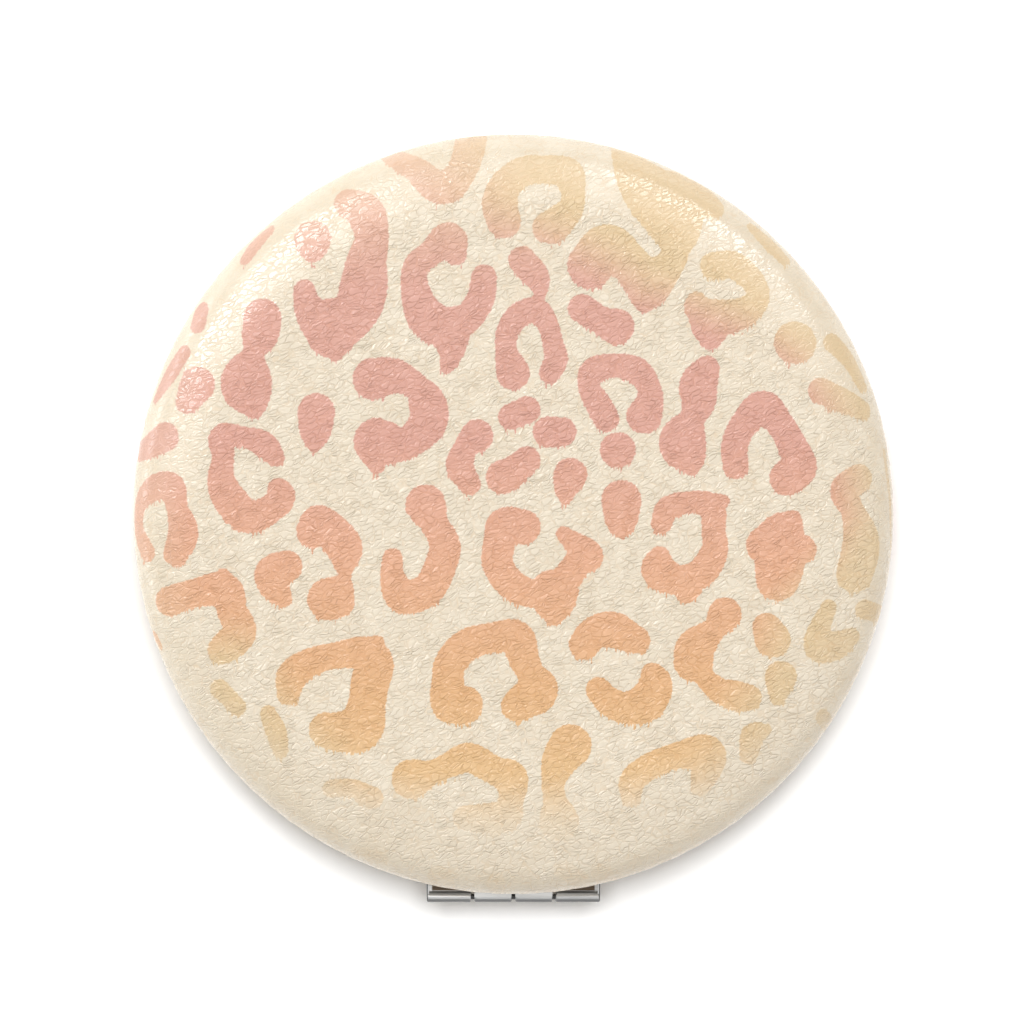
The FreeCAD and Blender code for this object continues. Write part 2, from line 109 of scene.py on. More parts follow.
def new_material(name):
    """An empty material, its node tree and its Principled shader."""
    material = bpy.data.materials.new(name)
    material.use_nodes = True
    tree = material.node_tree
    return material, tree, tree.nodes["Principled BSDF"]


def new_group(name, inputs, outputs):
    """An empty shader node group, with the sockets that come into it and the ones that go out."""
    group = bpy.data.node_groups.new(name, "ShaderNodeTree")
    for socket, kind in inputs.items():
        group.interface.new_socket(socket, in_out="INPUT", socket_type="NodeSocket" + kind)
    for socket, kind in outputs.items():
        group.interface.new_socket(socket, in_out="OUTPUT", socket_type="NodeSocket" + kind)
    entry = group.nodes.new("NodeGroupInput").outputs
    result = group.nodes.new("NodeGroupOutput").inputs
    return group, entry, result


def placed(tree):
    """The socket with a point's place on the piece, in metres."""
    return add(tree, "TexCoord").outputs["Object"]


def stretched(tree, vector, scale, angle=0.0):
    """vector turned about the vertical axis and then scaled along each axis."""
    inputs = {"Vector": vector, "Angle": angle}
    turned = add(tree, "VectorRotate", inputs, rotation_type="Z_AXIS").outputs[0]
    return add(tree, "Mapping", {"Vector": turned, "Scale": scale}).outputs[0]


def off_axis(tree, place):
    """The socket with the distance of a place from the vertical axis."""
    flat = add(tree, "VectorMath", {0: place, 1: (1.0, 1.0, 0.0)}, operation="MULTIPLY").outputs[0]
    return add(tree, "VectorMath", {0: flat}, operation="LENGTH").outputs["Value"]


def bumped(tree, shader, height, depth):
    """Links a height from 0 to 1, as deep as depth in metres, to a shader's normal."""
    bump = add(tree, "Bump", {"Height": height, "Distance": depth})
    tree.links.new(bump.outputs[0], shader.inputs["Normal"])


def turned_marks():
    """Rings about the vertical axis: noise along the radius alone, as a press or a buff leaves them."""
    sockets = {"Place": "Vector", "Rings per metre": "Float"}
    group, entry, result = new_group("turned_marks", sockets, {"Rings": "Float"})
    along = maths(group, "MULTIPLY", off_axis(group, entry["Place"]), entry["Rings per metre"])
    noise = add(group, "TexNoise", {"W": along, "Scale": 1.0, "Detail": 3.0}, noise_dimensions="1D")
    group.links.new(noise.outputs[0], result["Rings"])
    return group


def handling_marks():
    """What hands leave: smudges from a slow noise, and scratches where noise pulled out long passes a high
    mark."""
    sockets = {"Smudge": "Float", "Scratch": "Float"}
    group, entry, result = new_group("handling_marks", {"Place": "Vector"}, sockets)
    slow = add(group, "TexNoise", {"Vector": entry["Place"], "Scale": SMUDGE_SCALE, "Detail": 2.0})
    group.links.new(ramped(group, slow.outputs[0], *SMUDGE_RANGE), result["Smudge"])
    lines = []
    for scale, angle in SCRATCH_STRETCHES:
        pulled = stretched(group, entry["Place"], scale, angle)
        noise = add(group, "TexNoise", {"Vector": pulled, "Scale": 1.0, "Detail": 1.0})
        lines.append(ramped(group, noise.outputs[0], *SCRATCH_RANGE))
    group.links.new(maths(group, "MAXIMUM", *lines), result["Scratch"])
    return group


TURNED_MARKS = turned_marks()
HANDLING_MARKS = handling_marks()


def plated(name, colour, tarnish, roughness, rings, ring_depth):
    """Plated metal: turned rings, tarnish where it is smudged, and a dull shine where it is marked."""
    material, tree, shader = new_material(name)
    place = placed(tree)
    marks = add(tree, "Group", {"Place": place}, node_tree=HANDLING_MARKS)
    turned = add(tree, "Group", {"Place": place, "Rings per metre": rings}, node_tree=TURNED_MARKS)
    marked = maths(tree, "MAXIMUM", marks.outputs["Smudge"], marks.outputs["Scratch"])
    shade = blended(tree, marks.outputs["Smudge"], opaque(colour), opaque(tarnish))
    shader.inputs["Metallic"].default_value = 1.0
    tree.links.new(shade, shader.inputs["Base Color"])
    tree.links.new(ramped(tree, marked, 0.0, 1.0, *roughness), shader.inputs["Roughness"])
    bumped(tree, shader, turned.outputs["Rings"], ring_depth)
    return material


def finish(material, part, owners=HALVES):
    """Gives a part's CAD node its material, on both halves or on the given owners."""
    for owner in owners:
        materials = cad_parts[owner + "_" + part].data.materials
        materials.clear()
        materials.append(material)


nickel_plate = plated("nickel_plate", PLATE_COLOUR, PLATE_TARNISH, PAN_ROUGHNESS, PAN_RINGS, PAN_RING_DEPTH)
finish(nickel_plate, "pan")

# Hinge
# Two strips of satin steel, each rolled into knuckles round one steel pin and held inside its pan by two
# rivets. Rolling leaves fine lines along the strip. Painted shade darkens the outer side of the knuckles and
# the cheeks' outer faces, the strip in the recess in front of the knuckles is painted brown as its shade and
# the leather's reflection, and the pin is painted near black as the shade between the knuckles.
STRIP_COLOUR = (0.62, 0.62, 0.61)
STRIP_DARK = (0.34, 0.34, 0.34)
# Painted shade for the knuckles' outer side and the cheeks' outer faces, and painted shade with the
# leather's brown reflection for the recess in front of the knuckles.
STRIP_PAINTED_SHADE = (0.10, 0.10, 0.10)
STRIP_RECESS_SHADE = (0.085, 0.06, 0.04)
# The pin's colours are painted shade, near black, for the gaps between the knuckles.
PIN_PAINTED_SHADE = (0.07, 0.07, 0.07)
PIN_SMUDGED_SHADE = (0.03, 0.03, 0.03)
STRIP_METAL = 0.8
STRIP_ROUGHNESS = (0.28, 0.42)
STRIP_LINES = (90.0, 7000.0, 7000.0)
STRIP_LINE_DEPTH = 0.003 * MM
STRIP_LINE_RANGE = (0.3, 0.7)
KNUCKLE_SHADE_STARTS, KNUCKLE_SHADE_ENDS = 0.05 * MM, 0.50 * MM
RECESS_SHADE_STARTS, RECESS_SHADE_ENDS = 0.62 * MM, 0.46 * MM
CHEEK_STARTS, CHEEK_ENDS = 7.45 * MM, 7.60 * MM
CHEEK_SHADE_STARTS, CHEEK_SHADE_ENDS = 7.84 * MM, 7.94 * MM
PIN_RINGS = 5200.0
pin_low, pin_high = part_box("hinge_pin")
hinge_axis = (pin_low[1] + pin_high[1]) / 2.0


def rolled_strip_painted_shade():
    """Satin strip steel: noise pulled out along the strip gives its lines, smudges darken it, and painted
    shade darkens the outer side of the knuckles, more the further it is behind the hinge's axis. The strip
    in front of the knuckles is painted brown as the shade and the leather's reflection in that recess, all
    but the cheeks at its two ends, whose outer faces are painted dark as shade."""
    material, tree, shader = new_material("rolled_strip_painted_shade")
    place = placed(tree)
    marks = add(tree, "Group", {"Place": place}, node_tree=HANDLING_MARKS)
    pulled = stretched(tree, place, STRIP_LINES)
    lines = add(tree, "TexNoise", {"Vector": pulled, "Scale": 1.0, "Detail": 2.0}).outputs[0]
    dark = maths(tree, "MULTIPLY", marks.outputs["Smudge"], lines)
    parts = add(tree, "SeparateXYZ", {0: place}).outputs
    behind = parts[1]
    across = maths(tree, "ABSOLUTE", parts[0])
    # Painted shade: the knuckles' outer side and the cheeks' outer faces darken, and the recess in front of
    # the knuckles is painted brown for its shade and the leather's reflection.
    knuckle_shade = ramped(tree, behind, hinge_axis + KNUCKLE_SHADE_STARTS, hinge_axis + KNUCKLE_SHADE_ENDS)
    cheek_shade = ramped(tree, across, CHEEK_SHADE_STARTS, CHEEK_SHADE_ENDS)
    recess_shade = ramped(tree, behind, hinge_axis - RECESS_SHADE_STARTS, hinge_axis - RECESS_SHADE_ENDS, 1.0, 0.0)
    recess_shade = maths(tree, "MULTIPLY", recess_shade, ramped(tree, across, CHEEK_STARTS, CHEEK_ENDS, 1.0, 0.0))
    shade = blended(tree, dark, opaque(STRIP_COLOUR), opaque(STRIP_DARK))
    shade = blended(tree, maths(tree, "MAXIMUM", knuckle_shade, cheek_shade), shade, opaque(STRIP_PAINTED_SHADE))
    shade = blended(tree, recess_shade, shade, opaque(STRIP_RECESS_SHADE))
    shader.inputs["Metallic"].default_value = STRIP_METAL
    tree.links.new(shade, shader.inputs["Base Color"])
    rough = ramped(tree, lines, *STRIP_LINE_RANGE, *STRIP_ROUGHNESS)
    tree.links.new(rough, shader.inputs["Roughness"])
    bumped(tree, shader, lines, STRIP_LINE_DEPTH)
    return material


finish(rolled_strip_painted_shade(), "hinge_leaf")
# The pin is painted near black: painted shade for the gaps between the knuckles.
pin_painted_shade = plated("pin_painted_shade", PIN_PAINTED_SHADE, PIN_SMUDGED_SHADE, STRIP_ROUGHNESS, PIN_RINGS, STRIP_LINE_DEPTH)
finish(pin_painted_shade, "pin", ("hinge",))
rivet_steel = plated("rivet_steel", STRIP_COLOUR, STRIP_DARK, STRIP_ROUGHNESS, PIN_RINGS, STRIP_LINE_DEPTH)
finish(rivet_steel, "rivets")

# Tapes and adhesive pads
# Foamed double-sided tape: a small disc holds each mirror to its pan, and a larger pad holds the covered
# disc behind the pan. It is off-white, and its closed cells show as pores painted darker as shade.
TAPE_COLOUR = (0.78, 0.76, 0.70)
TAPE_PORE_SHADE = (0.60, 0.57, 0.50)
TAPE_PORES = 4200.0
TAPE_PORE_DEPTH = 0.03 * MM
TAPE_ROUGHNESS = 0.75
PORE_RANGE = (0.15, 0.55)
PORE_PATCHES = 0.3


def foam_pores():
    """Round pores: the distance to the nearest of many scattered points, thinned by a slow noise."""
    sockets = {"Place": "Vector", "Pores per metre": "Float"}
    group, entry, result = new_group("foam_pores", sockets, {"Pores": "Float"})
    cells = add(group, "TexVoronoi", {"Vector": entry["Place"], "Scale": entry["Pores per metre"]})
    hollow = ramped(group, cells.outputs["Distance"], *PORE_RANGE, 1.0, 0.0)
    patches = maths(group, "MULTIPLY", entry["Pores per metre"], PORE_PATCHES)
    slow = add(group, "TexNoise", {"Vector": entry["Place"], "Scale": patches, "Detail": 3.0})
    group.links.new(maths(group, "MULTIPLY", hollow, slow.outputs[0]), result["Pores"])
    return group


FOAM_PORES = foam_pores()


def foamed(name, colour, pore_shade, pores, depth, roughness):
    """Foam: its pores are painted darker as shade, and lie deeper than its walls."""
    material, tree, shader = new_material(name)
    place = placed(tree)
    cells = add(tree, "Group", {"Place": place, "Pores per metre": pores}, node_tree=FOAM_PORES)
    shade = blended(tree, cells.outputs["Pores"], opaque(colour), opaque(pore_shade))
    tree.links.new(shade, shader.inputs["Base Color"])
    shader.inputs["Roughness"].default_value = roughness
    bumped(tree, shader, maths(tree, "SUBTRACT", 1.0, cells.outputs["Pores"]), depth)
    return material


foam_tape = foamed("foam_tape", TAPE_COLOUR, TAPE_PORE_SHADE, TAPE_PORES, TAPE_PORE_DEPTH, TAPE_ROUGHNESS)
finish(foam_tape, "mirror_tape")
finish(foam_tape, "mounting_adhesive")

# Mirrors
# Silvered glass discs, a plain one in the lid and a dished one in the base, stuck down on their tapes. The
# glass shows green near its cut edge, and finger marks dull it a little.
SILVER_COLOUR = (0.90, 0.91, 0.91)
GLASS_EDGE_COLOUR = (0.50, 0.62, 0.57)
GLASS_EDGE_WIDTH = 0.5 * MM
GLASS_ROUGHNESS = (0.015, 0.07)


def silvered_glass(radius):
    """A mirror: its colour turns to glass green within the last part of its radius."""
    material, tree, shader = new_material("silvered_glass")
    place = placed(tree)
    marks = add(tree, "Group", {"Place": place}, node_tree=HANDLING_MARKS)
    edge = ramped(tree, off_axis(tree, place), radius - GLASS_EDGE_WIDTH, radius)
    shader.inputs["Metallic"].default_value = 1.0
    shade = blended(tree, edge, opaque(SILVER_COLOUR), opaque(GLASS_EDGE_COLOUR))
    tree.links.new(shade, shader.inputs["Base Color"])
    rough = ramped(tree, marks.outputs["Smudge"], 0.0, 1.0, *GLASS_ROUGHNESS)
    tree.links.new(rough, shader.inputs["Roughness"])
    return material


finish(silvered_glass(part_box("lid_mirror")[1][0]), "mirror")

# Bezels
# A moulded ring round each mirror, metallised to a satin silver and pressed into its pan. It hides the hinge
# leaf, and its lip holds the edge of the glass.
BEZEL_COLOUR = (0.74, 0.73, 0.71)
BEZEL_TARNISH = (0.68, 0.665, 0.64)
BEZEL_ROUGHNESS = (0.27, 0.35)
BEZEL_RINGS = 4200.0
BEZEL_RING_DEPTH = 0.002 * MM
satin_silver = plated(
    "satin_silver", BEZEL_COLOUR, BEZEL_TARNISH, BEZEL_ROUGHNESS, BEZEL_RINGS, BEZEL_RING_DEPTH
)
finish(satin_silver, "bezel")

# Magnets and backing discs
# A plated button magnet is sunk into each bezel opposite the hinge. The disc that the leather is drawn over
# is tinned steel, rolled, stamped out and left dull.
MAGNET_RINGS = 6000.0
TIN_COLOUR = (0.55, 0.55, 0.54)
TIN_DULL = (0.38, 0.38, 0.37)
TIN_ROUGHNESS = (0.34, 0.55)
magnet_plate = plated(
    "magnet_plate", PLATE_COLOUR, PLATE_TARNISH, PAN_ROUGHNESS, MAGNET_RINGS, PAN_RING_DEPTH
)
finish(magnet_plate, "magnet")
tinned_steel = plated("tinned_steel", TIN_COLOUR, TIN_DULL, TIN_ROUGHNESS, PAN_RINGS, PAN_RING_DEPTH)
finish(tinned_steel, "backing_disc")

# Foam pads
# A disc of soft cream foam under each cover. It is cut flat, and the leather drawn over it presses its rim
# down into the cover's shoulder, so it is crowned and fills the cover right up to the disc behind it.
cover_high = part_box("base_leather_cover")[1]
foam_low, foam_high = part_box("base_foam_pad")
disc_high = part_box("base_backing_disc")[1]
total_height = cad_box[1][2]
cover_radius = cover_high[0]
belt_height = disc_high[2]
skin_thickness = cover_high[2] - belt_height
shoulder_width = 7.8 * MM
edge_radius = 3.0 * MM
shoulder_run = shoulder_width - edge_radius
shoulder_rise = belt_height - edge_radius
shoulder_radius = (shoulder_run ** 2 + shoulder_rise ** 2) / (2.0 * shoulder_rise) + edge_radius
shoulder_turn = math.asin(shoulder_run / (shoulder_radius - edge_radius))
flat_radius = cover_radius - shoulder_width
FOAM_COLOUR = (0.80, 0.74, 0.60)
# The pores' colour is painted shade.
FOAM_PORE_SHADE = (0.52, 0.46, 0.34)
FOAM_PORE_COUNT = 1500.0
FOAM_PORE_DEPTH = 0.2 * MM
FOAM_ROUGHNESS = 0.9
FOAM_SPOKES = 180
FOAM_FACE_RINGS, FOAM_BACK_RINGS = (24, 16, 12), 20
QUARTER_TURN = math.pi / 2.0


def straight(start, end, count):
    """count points from start up to, and without, end, in the plane of radius and height."""
    share = np.arange(count)[:, None] / count
    return np.asarray(start) * (1.0 - share) + np.asarray(end) * share


def arc(centre, radius, start, end, count):
    """count points on a circle, from the angle start up to, and without, end. Angle 0 points straight down,
    and a quarter turn points outwards."""
    angle = start + (end - start) * np.arange(count) / count
    return np.asarray(centre) + radius * np.stack([np.sin(angle), -np.cos(angle)], axis=1)


def skin_path(inset, counts):
    """The face of a cover, inset by a depth: a flat, the shoulder's arc and the edge's arc, from the middle
    out."""
    edge_centre = (cover_radius - edge_radius, belt_height)
    return [
        straight((0.0, inset), (flat_radius, inset), counts[0]),
        arc((flat_radius, shoulder_radius), shoulder_radius - inset, 0.0, shoulder_turn, counts[1]),
        arc(edge_centre, edge_radius - inset, shoulder_turn, QUARTER_TURN, counts[2]),
    ]


def turned_shell(name, path, spokes, lift=None):
    """A closed shell turned about the vertical axis: point i of the path at spoke j stands at its radius
    times the cosine and sine of that spoke's angle. The path's two ends lie on the axis, and each is one
    vertex. lift moves the points between them, as an array of vectors."""
    angle = 2.0 * math.pi * np.arange(spokes) / spokes
    radius, height = path[1:-1, 0, None], path[1:-1, 1, None]
    rings = np.stack([radius * np.cos(angle), radius * np.sin(angle), height + 0.0 * angle], axis=2)
    if lift is not None:
        rings = rings + lift
    points = np.concatenate([[[0.0, 0.0, path[0, 1]]], rings.reshape(-1, 3), [[0.0, 0.0, path[-1, 1]]]])
    index = 1 + np.arange(rings.shape[0] * spokes).reshape(-1, spokes)
    following = np.roll(index, -1, axis=1)
    first_pole = np.zeros(spokes, int)
    last_pole = np.full(spokes, len(points) - 1)
    fans = np.concatenate([
        np.stack([first_pole, following[0], index[0]], axis=1),
        np.stack([last_pole, index[-1], following[-1]], axis=1),
    ])
    quads = np.stack([index[:-1], following[:-1], following[1:], index[1:]], axis=2).reshape(-1, 4)
    mesh = bpy.data.meshes.new(name)
    mesh.from_pydata(points, [], fans.tolist() + quads.tolist())
    mesh.polygons.foreach_set("use_smooth", np.ones(len(mesh.polygons), bool))
    return mesh


def seated(mesh, half):
    """The mesh as an object on its half: the lid's is turned over, half a turn about the Y axis at the
    seam."""
    if half == "lid":
        points = np.empty(3 * len(mesh.vertices), np.float32)
        mesh.vertices.foreach_get("co", points)
        points = points.reshape(-1, 3) * (-1.0, 1.0, -1.0) + (0.0, 0.0, total_height)
        mesh.vertices.foreach_set("co", points.astype(np.float32).ravel())
    mesh.update()
    piece = bpy.data.objects.new(mesh.name, mesh)
    bpy.context.scene.collection.objects.link(piece)
    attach(piece, half)
    return piece


def foam_pad_path():
    """The pad's outline: the cover's face one skin and a little more inside, up to the disc, and straight
    back."""
    face = np.concatenate(skin_path(foam_low[2], FOAM_FACE_RINGS))
    face = face[face[:, 1] < foam_high[2]]
    rim = (foam_high[0], foam_high[2])
    back = straight(rim, (0.0, foam_high[2]), FOAM_BACK_RINGS)
    return np.concatenate([face, back, [(0.0, foam_high[2])]])


cushion_foam = foamed(
    "cushion_foam", FOAM_COLOUR, FOAM_PORE_SHADE, FOAM_PORE_COUNT, FOAM_PORE_DEPTH, FOAM_ROUGHNESS
)
for half in HALVES:
    pad = seated(turned_shell(half + "_pad", foam_pad_path(), FOAM_SPOKES), half)
    pad.data.materials.append(cushion_foam)
    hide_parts(half + "_foam_pad")

# Leather covers
# A disc of cream coated leather, printed with a leopard pattern that runs from rose through orange to gold.
# It is drawn tight over the foam and the disc, and its edge is turned in behind and gathered into small
# pleats.
COVER_SPOKES = 720
FACE_RINGS = (70, 26, 9)
BACK_RINGS = (6, 5, 4)
TUCK_RINGS, HEM_RINGS, END_RINGS = 5, 6, 2
hem_width = 5.0 * MM
hem_end = disc_high[0] - hem_width
tuck_edge = cover_radius - skin_thickness
SWELL_SEED = 11
SWELL_WAVES = 14
SWELL_LENGTHS = (9.0 * MM, 22.0 * MM)
SWELL_DEPTH = 0.07 * MM
PLEATS = 84
PLEAT_DEPTH = 0.14 * MM
PLEAT_WANDER = ((2.0, 5.0), (1.0, 11.0))
PLEAT_STARTS = 0.985

# The print, traced as strokes in the photo's pixels: across, down and half width. Each spot is one
# or more strokes, and each stroke is drawn as one smooth line.
PHOTO_CENTRE_PX = np.array((513.4, 514.1))
COVER_RADIUS_PX = 380.3
PX = cover_radius / COVER_RADIUS_PX
SPOTS_PX = {
    "top_left_cup": [[(386, 152, 11), (401, 161, 12), (418, 171, 13), (433, 185, 16), (447, 187, 17.5),
                      (460, 175, 15), (467, 158, 15.5), (471, 140, 16.5), (474, 120, 17)]],
    "top_ring": [[(504, 222, 17), (500, 205, 18), (505, 187, 16), (523, 172, 15), (545, 170, 14.5),
                  (567, 174, 16), (573, 193, 12), (570, 210, 13), (554, 226, 17), (547, 228, 15)]],
    "top_chevron": [[(622, 140, 14), (630, 160, 19), (646, 184, 28), (668, 205, 34), (675, 226, 26),
                     (676, 247, 15), (668, 266, 15), (649, 286, 21), (644, 303, 10)],
                    [(590, 266, 23), (607, 249, 24), (627, 262, 20), (645, 284, 21)],
                    [(676, 178, 12), (700, 195, 17), (712, 207, 13)]],
    "upper_right_crook": [[(713, 266, 13.5), (733, 266, 14), (752, 281, 12), (757, 299, 12), (742, 313, 15),
                           (716, 318, 18), (697, 309, 13), (696, 302, 10)],
                          [(710, 322, 22), (711, 341, 9)]],
    "upper_left_hook": [[(348, 203, 14), (366, 214, 19), (372, 238, 17), (367, 262, 20), (364, 288, 24),
                         (357, 310, 23), (335, 326, 25), (316, 318, 18), (307, 302, 13), (305, 291, 11)],
                        [(331, 328, 29), (336, 352, 9)]],
    "upper_left_drop": [[(313, 240, 19), (313, 251, 12)]],
    "heart_ring": [[(456, 255, 11), (449, 240, 17), (432, 253, 13), (417, 266, 13), (415, 288, 14),
                    (425, 315, 19), (444, 327, 20), (468, 318, 15), (481, 298, 14), (484, 278, 13)],
                   [(449, 330, 22), (452, 350, 13), (447, 367, 7)]],
    "centre_bean": [[(522, 261, 14), (536, 277, 13), (541, 289, 7), (538, 300, 6)]],
    "centre_arch": [[(513, 373, 17), (506, 351, 11), (508, 331, 11.5), (520, 315, 12.5), (537, 311, 12.5),
                     (548, 326, 10.5), (553, 345, 10.5), (556, 359, 12), (550, 373, 11)]],
    "right_bean": [[(582, 309, 14.5), (601, 321, 14), (616, 327, 18)]],
    "right_ring": [[(606, 419, 13), (598, 404, 13), (589, 388, 11), (593, 371, 13), (615, 366, 12),
                    (637, 371, 13), (649, 389, 12), (649, 403, 14), (644, 416, 18)],
                   [(617, 450, 17.5), (618, 450, 17.5)]],
    "right_hourglass": [[(706, 369, 13), (698, 385, 19), (698, 402, 17), (691, 420, 13), (682, 442, 23.5),
                         (688, 455, 17), (691, 468, 8)]],
    "right_arch": [[(735, 466, 13), (734, 446, 13.5), (743, 425, 14), (762, 408, 17), (779, 424, 14),
                    (792, 447, 15), (798, 467, 18), (786, 478, 17.5)]],
    "left_hourglass": [[(263, 318, 19), (261, 334, 18.5), (254, 355, 11), (247, 382, 25.5), (252, 398, 18),
                        (256, 411, 8)]],
    "left_drop": [[(317, 412, 18.5), (316, 430, 16), (315, 447, 6)]],
    "left_twist": [[(374, 379, 21), (395, 376, 17), (418, 388, 13), (428, 405, 19), (427, 425, 19),
                    (405, 444, 16), (378, 442, 24)],
                   [(376, 450, 17), (377, 466, 8)]],
    "centre_cluster": [[(477, 436, 16.5), (467, 446, 12), (460, 466, 14), (470, 484, 11)],
                       [(511, 417, 13), (527, 410, 13.5)],
                       [(548, 432, 15.5), (562, 432, 14.5)],
                       [(503, 477, 17), (515, 470, 15), (527, 460, 13.5)],
                       [(570, 475, 17), (566, 487, 12), (565, 499, 6)]],
    "centre_drop": [[(621, 500, 20), (621, 518, 16.5), (621, 531, 7)]],
    "left_crescent": [[(276, 457, 9.5), (264, 444, 13), (244, 437, 10), (224, 438, 14), (224, 458, 11),
                       (222, 480, 14), (231, 500, 17), (250, 517, 16), (274, 507, 14), (282, 496, 14),
                       (279, 489, 11)]],
    "left_edge_drop": [[(165, 437, 15), (150, 446, 13), (138, 452, 11)]],
    "left_edge_ring": [[(147, 552, 10), (138, 528, 9), (141, 502, 10), (155, 488, 13), (172, 487, 14),
                        (178, 508, 11), (184, 532, 15.5), (177, 553, 13)]],
    "left_edge_streak": [[(184, 353, 8), (170, 375, 9), (156, 399, 5)],
                         [(198, 385, 18), (188, 402, 12)]],
    "left_edge_dot": [[(201, 311, 10), (198, 325, 9)]],
    "mid_left_hook": [[(314, 531, 17), (319, 521, 16), (334, 533, 18), (345, 548, 18), (345, 563, 11),
                       (345, 577, 7), (337, 595, 18), (329, 599, 21), (340, 602, 15)]],
    "mid_left_blob": [[(287, 566, 16), (273, 574, 18), (277, 588, 14), (285, 599, 8)]],
    "round_head_hook": [[(426, 505, 20.5), (434, 522, 14), (445, 545, 15.5), (440, 567, 16), (427, 590, 16),
                         (403, 596, 17), (393, 577, 12.5), (393, 558, 10)]],
    "mid_ring": [[(523, 527, 17.5), (504, 525, 17), (499, 545, 16), (498, 565, 15.5), (514, 586, 15),
                  (540, 594, 14), (562, 583, 15), (578, 562, 14), (588, 555, 15), (574, 543, 11),
                  (564, 534, 8)],
                 [(554, 594, 25), (554, 615, 10)]],
    "mid_right_ring": [[(661, 523, 10.5), (668, 508, 12), (690, 502, 11), (711, 507, 13), (713, 530, 12),
                        (714, 550, 13.5), (703, 570, 15), (683, 581, 13), (659, 571, 17.5), (659, 557, 11)],
                       [(687, 582, 18), (686, 595, 8)],
                       [(706, 504, 11), (722, 501, 7)]],
    "right_blob": [[(792, 519, 9), (779, 540, 25), (779, 562, 25), (777, 578, 22)],
                   [(765, 545, 19.5), (802, 549, 14)]],
    "right_stroke": [[(858, 478, 14), (844, 491, 15), (852, 511, 12), (860, 535, 18), (860, 552, 20),
                      (854, 573, 19)]],
    "low_left_hook": [[(170, 601, 15), (195, 593, 14), (224, 590, 18), (233, 610, 15), (240, 632, 17),
                       (226, 647, 15.5), (221, 650, 13)],
                      [(224, 588, 14), (224, 576, 8)]],
    "low_left_ring": [[(289, 693, 11.5), (293, 675, 15.5), (310, 662, 14), (336, 655, 13), (362, 653, 17),
                       (374, 663, 20), (370, 685, 19), (367, 705, 19), (360, 727, 23), (337, 731, 19),
                       (327, 729, 17.5)],
                      [(370, 652, 16), (378, 642, 7)]],
    "low_arch": [[(464, 704, 19), (449, 702, 18), (448, 680, 16), (451, 662, 16), (468, 644, 16),
                  (495, 637, 15), (516, 638, 18), (524, 659, 15), (532, 675, 14), (538, 690, 20),
                  (520, 703, 17), (515, 706, 14)]],
    "low_right_arch": [[(584, 644, 15.5), (593, 633, 16), (611, 629, 18), (630, 637, 15), (637, 640, 13)]],
    "low_right_cup": [[(598, 689, 12.5), (608, 700, 14), (625, 707, 16), (645, 702, 19), (655, 685, 17),
                       (652, 673, 11)]],
    "low_right_cluster": [[(724, 614, 17), (714, 628, 12), (695, 647, 19), (693, 661, 20)],
                          [(695, 668, 8), (716, 688, 12), (735, 695, 15), (748, 697, 13)]],
    "right_pebbles": [[(766, 627, 14.5), (772, 639, 18)],
                      [(780, 677, 16.5), (777, 697, 8)]],
    "right_edge_cup": [[(828, 607, 8), (819, 628, 11), (819, 645, 16), (835, 645, 14), (851, 636, 9)]],
    "right_edge_patch": [[(864, 609, 10), (880, 614, 9)]],
    "right_upper_dot": [[(794, 343, 21), (795, 343, 21)]],
    "right_edge_bean": [[(820, 391, 13), (845, 402, 12), (862, 410, 10)],
                        [(832, 343, 10), (848, 360, 9), (862, 386, 7)]],
    "upper_right_edge": [[(752, 228, 6), (770, 245, 9), (784, 259, 7)]],
    "upper_left_edge": [[(270, 230, 6), (256, 244, 9), (245, 260, 6)]],
    "low_left_beans": [[(220, 688, 9.5), (238, 706, 9)],
                       [(269, 713, 8.5), (277, 732, 10.5), (281, 750, 8)]],
    "low_wide_arch": [[(412, 778, 20), (431, 772, 12), (452, 763, 13), (470, 757, 15), (495, 770, 14),
                       (511, 778, 17), (511, 800, 12), (505, 815, 16), (480, 817, 14), (465, 817, 12)]],
    "low_dumbbell": [[(570, 745, 21.5), (560, 759, 18), (553, 780, 12), (555, 800, 12), (559, 820, 20)]],
    "low_far_arch": [[(631, 796, 10), (632, 780, 13), (650, 765, 13), (676, 755, 13), (705, 753, 19),
                      (705, 770, 15), (700, 785, 10)]],
    "low_right_corner": [[(765, 729, 6), (752, 735, 12), (748, 755, 9)]],
    "low_left_arch": [[(332, 788, 9), (352, 787, 9), (373, 797, 11)]],
    "low_edge_patches": [[(440, 876, 13), (446, 890, 12)], [(496, 880, 9), (497, 890, 9)],
                         [(562, 868, 9), (580, 880, 11)], [(602, 872, 11), (608, 886, 9)]],
    "low_corner_patches": [[(358, 852, 8), (380, 858, 9)], [(822, 716, 8), (838, 738, 7)]],
    "right_edge_strip": [[(884, 450, 3), (890, 500, 3), (891, 550, 2)]],
    "left_edge_patch": [[(155, 636, 6), (160, 646, 5)]],
}
STROKE_STEPS = 6
FAR_FROM_SPOTS = 4.0 * MM
LEAST_SQUARE, LEAST_GAP = 1e-12, 1e-9

